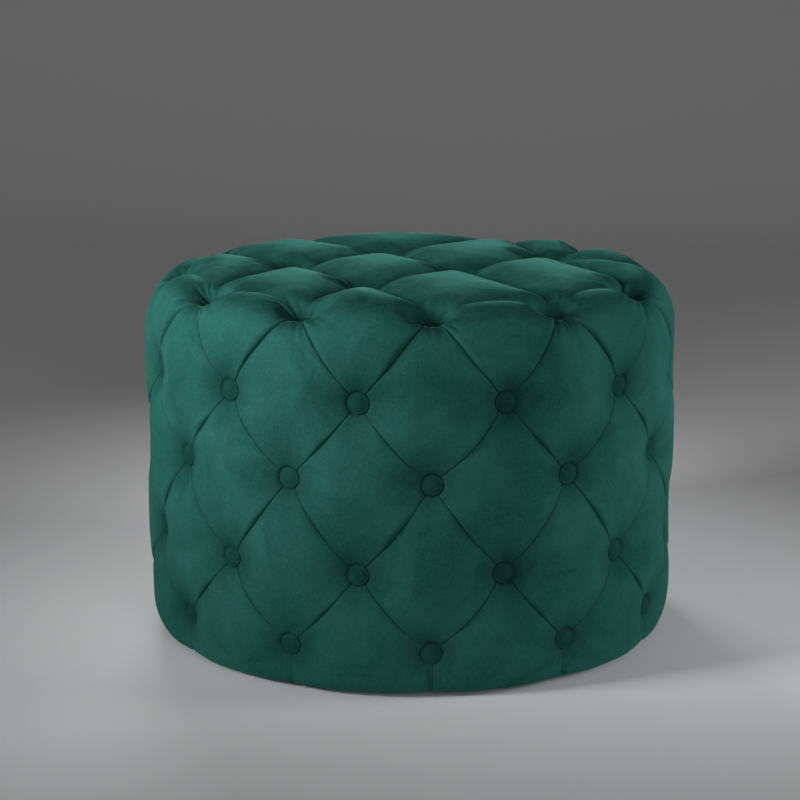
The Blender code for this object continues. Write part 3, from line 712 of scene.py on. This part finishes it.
def close_inside(skin):
    """Turns the hem under the base and runs the inside of the cover up to the top."""
    edges = [edge for edge in skin.edges if edge.is_boundary]
    rings = [
        (HEM_INNER, HEM_HEIGHT), (HEM_INNER, HEM_TOP), (COVER_INNER, HEM_TOP),
        (COVER_INNER, ROW_HEIGHTS[-1]), (COVER_INNER - COVER_EDGE_ROUND, COVER_CEILING),
        (COVER_INNER / 2, COVER_CEILING),
    ]
    for radius, height in rings:
        grown = bmesh.ops.extrude_edge_only(skin, edges=edges)["geom"]
        edges = [item for item in grown if isinstance(item, bmesh.types.BMEdge) and item.is_boundary]
        for vertex in {vertex for edge in edges for vertex in edge.verts}:
            scale = radius / math.hypot(vertex.co.x, vertex.co.y)
            vertex.co = (vertex.co.x * scale, vertex.co.y * scale, height)
    bmesh.ops.holes_fill(skin, edges=edges)


def add_piece(name, mesh):
    """A mesh as a named piece in the scene."""
    made = bpy.data.objects.new(name, mesh)
    bpy.context.scene.collection.objects.link(made)
    return made


def add_solid(name, solid):
    """A bmesh as a named piece, with its faces outwards."""
    bmesh.ops.recalc_face_normals(solid, faces=solid.faces)
    mesh = bpy.data.meshes.new(name)
    solid.to_mesh(mesh)
    solid.free()
    return add_piece(name, mesh)


def dress(piece, slot, materials, *nodes):
    """Rides a piece on the stool with its materials and hides the solids that it stands for; its slot is
    not used.
    """
    for material in materials:
        piece.data.materials.append(material)
    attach(piece, "root")
    if nodes:
        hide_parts(*nodes)


def turned(target, outline, sides, matrix, finish, gathers=0.0):
    """Turns (radius, height) points about an axis into a bmesh.

    They start and end on the axis, or end at the first point again.
    """
    rings = []
    for radius, height in outline:
        if radius == 0.0:
            rings.append([target.verts.new(matrix @ Vector((0, 0, height)))])
            continue
        if rings and (radius, height) == outline[0]:
            rings.append(rings[0])
            continue
        ring = []
        for step in range(sides):
            turn = 2 * math.pi * step / sides
            fade = (radius / BUTTON_RADIUS) ** GATHER_POWER
            out = radius + gathers * math.sin(BUTTON_GATHERS * turn) * fade
            place = Vector((out * math.cos(turn), out * math.sin(turn), height))
            ring.append(target.verts.new(matrix @ place))
        rings.append(ring)
    for upper, lower in zip(rings, rings[1:]):
        for step in range(sides):
            ahead = (step + 1) % sides
            corners = [upper[step % len(upper)], lower[step % len(lower)]]
            corners += [lower[ahead % len(lower)], upper[ahead % len(upper)]]
            face = target.faces.new(list(dict.fromkeys(corners)))
            face.material_index = finish
            face.smooth = True


def rod(radius, top, bottom):
    """The outline of a plain round rod."""
    return [(0.0, top), (radius, top), (radius, bottom), (0.0, bottom)]


def facing(point, direction):
    """The matrix that sets +Z along a direction, at a point."""
    turn = Vector((0, 0, 1)).rotation_difference(direction.normalized())
    return Matrix.Translation(point) @ turn.to_matrix().to_4x4()


def add_button(target, point, direction, lift, depth):
    """A covered button with its twine from its back down to a depth under its seat."""
    spin = Matrix.Rotation(rng.uniform(0, 2 * math.pi), 4, "Z")
    matrix = facing(point, direction) @ Matrix.Translation((0, 0, lift)) @ spin
    back = BUTTON_OUTLINE[-1][1]
    cap = list(BUTTON_OUTLINE[:-1]) + [(0.0, back)]
    turned(target, cap, BUTTON_SIDES, matrix, 0, GATHER_DEPTH)
    turned(target, rod(TWINE_RADIUS, back + GAP, -depth - lift), TWINE_SIDES, matrix, 1)


def add_tie(target, radius, height):
    """The cord inside the drum that ties a ring of buttons."""
    outline = []
    for side in range(TWINE_SIDES):
        tilt = 2 * math.pi * side / TWINE_SIDES
        outline.append((radius + TIE_RADIUS * math.cos(tilt), height + TIE_RADIUS * math.sin(tilt)))
    turned(target, outline + outline[:1], TIE_STEPS, Matrix.Identity(4), 1)


def polar(angle, radius, height):
    """The point at an angle from the front, a radius and a height."""
    return Vector((radius * math.sin(angle), -radius * math.cos(angle), height))


def side_seats(row):
    """Where the buttons of a side row sit, each as a point and its outward direction."""
    angles = [tuft_angle(2 * column + row % 2) for column in range(COLUMNS)]
    return [(polar(angle, SIDE_TUFT_RADIUS, ROW_HEIGHTS[row]), polar(angle, 1, 0)) for angle in angles]


def rim_seats():
    """The same for the buttons of the rim."""
    angles = [tuft_angle(2 * column) for column in range(COLUMNS)]
    lean = math.sin(RIM_LEAN), math.cos(RIM_LEAN)
    return [(polar(angle, *RIM_TUFT), polar(angle, *lean)) for angle in angles]


def top_seats():
    """The same for the buttons of the top."""
    places = [tuft_plane(count, TOP) for count in range(len(TOP_GRID))]
    return [(Vector((*place, TOP_TUFT_HEIGHT)), Vector((0, 0, 1))) for place in places]


def make_buttons(materials):
    """All the covered buttons: four side rows, the rim ring and the five of the top."""
    slot = "button_velvet"
    for row, height in enumerate(ROW_HEIGHTS):
        ring = bmesh.new()
        for seat in side_seats(row):
            add_button(ring, *seat, -SIDE_BUTTON_SINK, SIDE_TUFT_RADIUS - SIDE_TIE_RADIUS)
        add_tie(ring, SIDE_TIE_RADIUS, height)
        buttons = add_solid(f"covered_buttons_row_{row + 1}", ring)
        dress(buttons, slot, materials, f"side_buttons_row_{row + 1}")
    ring = bmesh.new()
    for seat in rim_seats():
        add_button(ring, *seat, TOP_BUTTON_LIFT, (RIM_TUFT[1] - TIE_HEIGHT) / math.cos(RIM_LEAN))
    add_tie(ring, RIM_TIE_RADIUS, TIE_HEIGHT)
    dress(add_solid("covered_rim_buttons", ring), slot, materials, "rim_buttons")
    for count, seat in enumerate(top_seats(), 1):
        single = bmesh.new()
        add_button(single, *seat, TOP_BUTTON_LIFT, TOP_TUFT_HEIGHT - BOARD_BOTTOM + GAP)
        below = Matrix.Translation((*seat[0].xy, BOARD_BOTTOM - GAP))
        turned(single, rod(WASHER_RADIUS, 0.0, -WASHER_THICKNESS), WASHER_SIDES, below, 2)
        dress(add_solid(f"covered_top_button_{count}", single), slot, materials, f"top_button_{count}")


def foam_piece(name, outline, seats, node, finish):
    """A foam piece turned from its outline, pressed in round the seats of its buttons."""
    foam = bmesh.new()
    turned(foam, outline, FOAM_SIDES, Matrix.Identity(4), 0)
    for vertex in foam.verts:
        for point, direction in seats:
            offset = vertex.co - point
            under = offset.dot(direction)
            aside = (offset - direction * under).length
            if aside < PRESS_REACH and under > -PRESS_UNDER:
                vertex.co -= direction * PRESS_DEPTH * (1 - aside / PRESS_REACH) ** 2
    piece = add_solid(name, foam)
    dress(piece, "foam", [finish], node)


def stepped(*corners):
    """An outline through (radius, height) corners, each with its number of steps to the next."""
    points = []
    for (start, steps), (end, _) in zip(corners, corners[1:]):
        way = np.array(end) - np.array(start)
        points += [tuple(np.array(start) + way * share) for share in np.arange(steps) / steps]
    return points + [corners[-1][0]]


def make_foam(finish):
    """Foam round the wall and foam on the top board."""
    inner, outer = WALL_RADIUS + GAP, COVER_INNER - GAP
    lean = COVER_EDGE_ROUND / (COVER_CEILING - ROW_HEIGHTS[-1])
    narrowed = outer - lean * (FOAM_LEVEL - ROW_HEIGHTS[-1])
    under, chamfer, edge, over = FOAM_EDGE_STEPS
    side = stepped(
        ((inner, BASE_BOTTOM), under), ((outer - FOAM_CHAMFER, BASE_BOTTOM), chamfer),
        ((outer, BASE_BOTTOM + FOAM_CHAMFER), FOAM_STEPS), ((outer, ROW_HEIGHTS[-1]), edge),
        ((narrowed, FOAM_LEVEL), over), ((inner, FOAM_LEVEL), FOAM_STEPS), ((inner, BASE_BOTTOM), 0))
    seats = [seat for row in range(len(ROW_HEIGHTS)) for seat in side_seats(row)]
    foam_piece("side_padding", side, seats, "side_foam", finish)
    bottom, ceiling = BOARD_LEVEL + GAP, COVER_CEILING - GAP
    crown = COVER_INNER - COVER_EDGE_ROUND - GAP
    widest = crown + lean * (ceiling - bottom)
    top = stepped(
        ((0.0, ceiling), FOAM_STEPS), ((crown, ceiling), TOP_FOAM_EDGE_STEPS),
        ((widest, bottom), FOAM_STEPS), ((0.0, bottom), 0))
    foam_piece("top_padding", top, top_seats() + rim_seats(), "top_foam", finish)


def make_dust_cover(finish):
    """Thin black cloth under the base, stretched and stapled all round."""
    radii = np.linspace(0, DUST_RADIUS, DUST_RINGS)
    outline = [(radius, DUST_LEVEL + DUST_THICKNESS / 2) for radius in radii]
    outline += [(radius, height - DUST_THICKNESS) for radius, height in reversed(outline)]
    cloth = bmesh.new()
    turned(cloth, outline, DUST_SIDES, Matrix.Identity(4), 0)
    for vertex in cloth.verts:
        out = math.hypot(vertex.co.x, vertex.co.y) / DUST_RADIUS
        turn = math.atan2(vertex.co.x, -vertex.co.y)
        vertex.co.z -= DUST_PUCKER * out ** PUCKER_POWER * (1 + math.cos(STAPLE_COUNT * turn)) / 2
    piece = add_solid("dust_cloth", cloth)
    dress(piece, "dust_cloth", [finish], "dust_cover")


def make_staples(finish):
    """Wire staples that hold the turned-in hem under the base."""
    wires = bmesh.new()
    for count in range(STAPLE_COUNT):
        turn = 2 * math.pi * (count + rng.uniform(-STAPLE_STRAY, STAPLE_STRAY)) / STAPLE_COUNT
        circle = STAPLE_CIRCLE + rng.uniform(-STAPLE_SHIFT, STAPLE_SHIFT)
        tilt = Matrix.Rotation(turn + rng.uniform(-STAPLE_TURN, STAPLE_TURN), 4, "Z")
        place = Matrix.Translation(polar(turn, circle, HEM_HEIGHT - STAPLE_WIRE / 2)) @ tilt
        size = Matrix.Diagonal((STAPLE_LENGTH, STAPLE_WIDTH, STAPLE_WIRE, 1))
        crown = bmesh.ops.create_cube(wires, size=1.0, matrix=place @ size)["verts"]
        edges = {edge for vertex in crown for edge in vertex.link_edges}
        bmesh.ops.bevel(wires, geom=list(edges), offset=STAPLE_ROUND, segments=2, affect="EDGES")
    dress(add_solid("hem_staples", wires), "zinc_steel", [finish])


def finish_nodes(materials):
    """Gives the solids that stay shown their materials, by the start of their names."""
    for name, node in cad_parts.items():
        for start, material in materials.items():
            if name.startswith(start):
                node.data.materials.clear()
                node.data.materials.append(material)


def make_camera():
    """The photograph's camera, fitted to the drum's outline and its buttons."""
    lens = bpy.data.cameras.new("camera")
    lens.sensor_width = SENSOR_WIDTH
    lens.lens = CAMERA_FOCAL_PIXELS / FRAME_PIXELS * SENSOR_WIDTH
    camera = bpy.data.objects.new("camera", lens)
    bpy.context.scene.collection.objects.link(camera)
    aim = Matrix.Rotation(-CAMERA_YAW, 4, "Z") @ Matrix.Rotation(math.pi / 2 - CAMERA_PITCH, 4, "X")
    roll = Matrix.Rotation(CAMERA_ROLL, 4, "Z")
    camera.matrix_world = Matrix.Translation(CAMERA_PLACE) @ aim @ roll
    bpy.context.scene.camera = camera


def make_light(name, place, target, size, power, spread):
    """A soft square lamp that faces a target and spreads over an angle in degrees."""
    lamp = bpy.data.lights.new(name, "AREA")
    lamp.size = size
    lamp.spread = math.radians(spread)
    lamp.energy = power
    holder = bpy.data.objects.new(name, lamp)
    holder.location = place
    aim = Vector(target) - Vector(place)
    holder.rotation_euler = aim.to_track_quat("-Z", "Y").to_euler()
    bpy.context.scene.collection.objects.link(holder)


def make_stage():
    """Pale floor swept up into a backdrop, soft lamps and an even surround."""
    outline = [(-FLOOR_REACH, 0.0), (SWEEP_START, 0.0)]
    for turn in np.linspace(0, math.pi / 2, SWEEP_STEPS)[1:]:
        rise = SWEEP_RADIUS - SWEEP_RADIUS * math.cos(turn)
        outline.append((SWEEP_START + SWEEP_RADIUS * math.sin(turn), rise))
    outline.append((SWEEP_START + SWEEP_RADIUS, BACKDROP_TOP))
    points = [(side, *place) for place in outline for side in (-FLOOR_REACH, FLOOR_REACH)]
    faces = [(row, row + 1, row + 3, row + 2) for row in range(0, len(points) - 2, 2)]
    mesh = bpy.data.meshes.new("floor_sweep")
    mesh.from_pydata(points, [], faces)
    mesh.shade_smooth()
    floor = add_piece("floor_sweep", mesh)
    paint = Finish("pale_floor", roughness=0.8, **{"Base Color": (*FLOOR_PAINT, 1)})
    mesh.materials.append(paint.material)
    world = bpy.data.worlds.new("surround")
    bpy.context.scene.world = world
    world.use_nodes = True
    background = world.node_tree.nodes["Background"].inputs
    background["Color"].default_value = (1, 1, 1, 1)
    background["Strength"].default_value = SURROUND
    for lamp in LAMPS:
        make_light(*lamp)


class Finish:
    """A procedural material on one Principled BSDF."""

    def __init__(self, name, roughness, **inputs):
        self.material = bpy.data.materials.new(name)
        self.material.use_nodes = True
        self.nodes = self.material.node_tree.nodes
        self.shader = self.nodes["Principled BSDF"]
        self.feed(self.shader, {"Roughness": roughness, **inputs})
        coordinates = self.nodes.new("ShaderNodeTexCoord")
        self.where = coordinates.outputs["Object"]
        self.facing = coordinates.outputs["Normal"]
        self.relief = None

    def feed(self, node, inputs):
        """Links each input of a node to a socket, or sets it to a constant."""
        for name, value in inputs.items():
            if isinstance(value, bpy.types.NodeSocket):
                self.material.node_tree.links.new(value, node.inputs[name])
            else:
                node.inputs[name].default_value = value

    def node(self, kind, inputs, **settings):
        """A new node with its settings and inputs."""
        made = self.nodes.new(kind)
        for name, value in settings.items():
            setattr(made, name, value)
        self.feed(made, inputs)
        return made

    def stretched(self, scale):
        """Coordinates stretched along the axes."""
        return self.node("ShaderNodeMapping", {"Vector": self.where, "Scale": scale}).outputs["Vector"]

    def noise(self, scale, detail, roughness=0.55, distortion=0.0, where=None):
        """A noise texture's value."""
        inputs = {"Scale": scale, "Detail": detail, "Roughness": roughness, "Distortion": distortion}
        return self.node("ShaderNodeTexNoise", {"Vector": where or self.where, **inputs}).outputs["Fac"]

    def dots(self, scale):
        """Distance to the nearest of many scattered points."""
        texture = self.node("ShaderNodeTexVoronoi", {"Vector": self.where, "Scale": scale})
        return texture.outputs["Distance"]

    def ramp(self, value, stops):
        """Colours along a value."""
        ramp = self.node("ShaderNodeValToRGB", {"Fac": value})
        elements = ramp.color_ramp.elements
        while len(elements) < len(stops):
            elements.new(0.5)
        for element, (place, colour) in zip(elements, stops):
            element.position = place
            element.color = (*colour, 1)
        return ramp.outputs["Color"]

    def top_shade(self, low, high):
        """How far the surface faces up, from 0 at one rise of its normal to 1 at another."""
        split = self.node("ShaderNodeSeparateXYZ", {"Vector": self.facing})
        inputs = {"Value": split.outputs["Z"], "From Min": low, "From Max": high}
        return self.node("ShaderNodeMapRange", inputs, interpolation_type="SMOOTHSTEP").outputs["Result"]

    def between(self, share, first, second):
        """A value between two others."""
        return self.node("ShaderNodeMix", {"Factor": share, "A": first, "B": second}).outputs["Result"]

    def mixed(self, share, first, second, blend="MIX"):
        """A colour between two others, or otherwise blended from them."""
        inputs = {"Factor": share, MIX_FIRST: first, MIX_SECOND: second}
        mix = self.node("ShaderNodeMix", inputs, data_type="RGBA", blend_type=blend)
        return mix.outputs[MIX_RESULT]

    def darkened(self, colour, attribute, level):
        """A colour that goes down to a share of itself where an attribute of the mesh is 1."""
        read = self.node("ShaderNodeAttribute", {}, attribute_name=attribute)
        return self.mixed(read.outputs["Fac"], colour, (level, level, level, 1), "MULTIPLY")

    def colour(self, value, *stops):
        """Base colour that follows a value."""
        self.feed(self.shader, {"Base Color": self.ramp(value, stops)})

    def bump(self, height, distance, strength):
        """Adds a layer of relief over those before it."""
        inputs = {"Height": height, "Distance": distance, "Strength": strength}
        if self.relief:
            inputs["Normal"] = self.relief
        self.relief = self.node("ShaderNodeBump", inputs).outputs["Normal"]
        self.feed(self.shader, {"Normal": self.relief})


def velvet(name, share, top_shade):
    """Green cut velvet: mottled nap, fine pile and a soft sheen, with painted shade where it faces up,
    round its buttons and in its creases, and scaled all over by a share.
    """
    tint = *(share * channel for channel in SHEEN_TINT), 1
    sheen = {
        "Specular IOR Level": 0.0,
        "Sheen Weight": SHEEN, "Sheen Roughness": SHEEN_ROUGHNESS, "Sheen Tint": tint,
    }
    made = Finish(name, roughness=0.9, **sheen)
    pile = made.noise(scale=420, detail=3, roughness=0.6)
    tones = []
    # the second tones, for upward-facing velvet, are painted shade: darkened by a share
    for level, nap in ((share, SIDE_NAP), (share * top_shade, TOP_NAP)):
        patches = made.noise(scale=nap["scale"], detail=5, roughness=0.62, distortion=nap["swirl"])
        colours = [tuple(level * channel for channel in colour) for colour in VELVET_NAP]
        tones.append(made.ramp(made.between(PILE_SHARE, patches, pile), list(zip(nap["places"], colours))))
    colour = made.mixed(made.top_shade(*FACES_UP), *tones)
    # painted shade round the buttons and along the creases
    colour = made.darkened(colour, SHADE_ATTRIBUTE, SHADE_LEVEL)
    made.feed(made.shader, {"Base Color": colour})
    made.bump(made.noise(scale=55, detail=4, roughness=0.6, distortion=0.4), distance=0.003, strength=0.25)
    made.bump(made.noise(scale=1500, detail=2), distance=0.0006, strength=0.35)
    return made.material


def twine_finish():
    """Pale waxed twine."""
    made = Finish("twine", roughness=0.8)
    made.colour(made.noise(scale=600, detail=3), (0.3, (0.44, 0.38, 0.28)), (0.7, (0.60, 0.54, 0.42)))
    made.bump(made.noise(scale=1600, detail=2), distance=0.0006, strength=0.5)
    return made.material


def steel_finish():
    """Zinc-plated steel."""
    made = Finish("zinc_plate", roughness=0.38, Metallic=1.0)
    made.colour(made.noise(scale=300, detail=3), (0.3, (0.52, 0.53, 0.52)), (0.7, (0.68, 0.68, 0.65)))
    made.bump(made.noise(scale=900, detail=3), distance=0.0003, strength=0.2)
    return made.material


def foam_finish():
    """Pale open-celled foam."""
    made = Finish("pale_foam", roughness=0.95)
    made.colour(made.noise(scale=40, detail=5), (0.3, (0.68, 0.61, 0.43)), (0.7, (0.80, 0.75, 0.58)))
    made.bump(made.dots(scale=900), distance=0.0008, strength=0.6)
    return made.material


def plywood_finish():
    """Birch plywood with streaked grain."""
    made = Finish("birch_plywood", roughness=0.6)
    stops = (0.30, (0.50, 0.34, 0.19)), (0.50, (0.62, 0.46, 0.29)), (0.72, (0.72, 0.58, 0.40))
    made.colour(made.noise(26, 6, 0.6, distortion=0.8, where=made.stretched((1, 9, 2))), *stops)
    fibres = made.noise(120, 4, 0.6, distortion=0.3, where=made.stretched((1, 14, 3)))
    made.bump(fibres, distance=0.0004, strength=0.3)
    return made.material


def plastic_finish():
    """Black moulded plastic with a fine texture and scuffs."""
    made = Finish("black_plastic", roughness=0.5)
    scuffs = made.noise(scale=180, detail=5, roughness=0.7)
    made.colour(scuffs, (0.35, (0.014, 0.014, 0.015)), (0.75, (0.038, 0.038, 0.039)))
    made.bump(made.noise(scale=2200, detail=2), distance=0.0003, strength=0.3)
    return made.material


def dust_finish():
    """Black spunbond cloth with fine bonded dots."""
    made = Finish("black_spunbond", roughness=0.9)
    fibres = made.noise(scale=700, detail=4, roughness=0.7)
    made.colour(fibres, (0.35, (0.012, 0.012, 0.013)), (0.70, (0.036, 0.036, 0.038)))
    made.bump(made.dots(scale=650), distance=0.0004, strength=0.5)
    made.bump(made.noise(scale=1500, detail=3), distance=0.0003, strength=0.3)
    return made.material


bpy.context.scene.view_settings.view_transform = "Standard"
make_camera()
make_stage()
green = velvet("green_velvet", 1.0, COVER_TOP_SHADE)
cover = make_cover()
dress(cover, "velvet", [green], "side_cover_left", "side_cover_right", "top_cover")
steel = steel_finish()
# the buttons' velvet is a darker copy of the cover's: painted shade
make_buttons([velvet("button_velvet", BUTTON_SHADE, BUTTON_TOP_SHADE), twine_finish(), steel])
make_foam(foam_finish())
make_dust_cover(dust_finish())
make_staples(steel)
plywood = plywood_finish()
finish_nodes({
    "base_board": plywood, "drum_wall": plywood, "top_board": plywood, "glide_": plastic_finish(),
    "base_screw_": steel, "top_screw_": steel,
})
